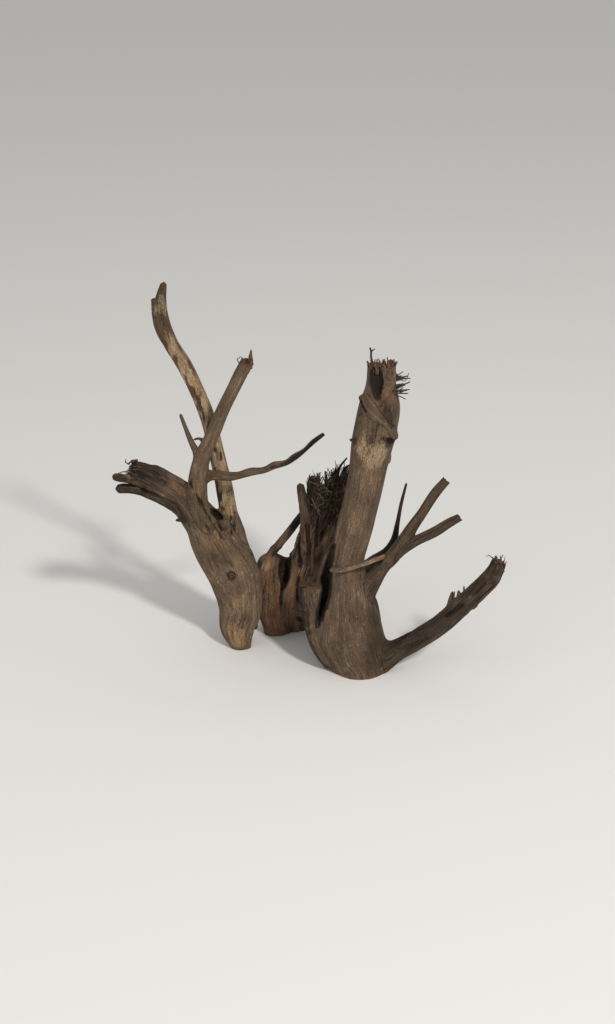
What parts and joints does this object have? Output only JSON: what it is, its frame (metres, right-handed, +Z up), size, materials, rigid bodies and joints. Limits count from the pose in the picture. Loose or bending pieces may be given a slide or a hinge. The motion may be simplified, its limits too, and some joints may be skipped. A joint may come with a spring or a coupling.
{
  "type": "driftwood stump",
  "caption": "Weathered driftwood root stump with rising trunk, hooked root, forked limbs and torn fibrous ends, standing on its cut roots.",
  "frame": {"origin": "middle of the main trunk's cut foot, on the surface that the piece stands on", "axes": "+Z up, +X to the right and -Y to the front, towards the viewer of the picture"},
  "size_m": [0.4879, 0.1787, 0.4708],
  "materials": {
    "weathered_wood": "dry, weathered grey-brown driftwood with long open grain, redder where it is torn"
  },
  "bodies": {
    "root": {"driftwood": "weathered_wood"}
  },
  "joints": []
}
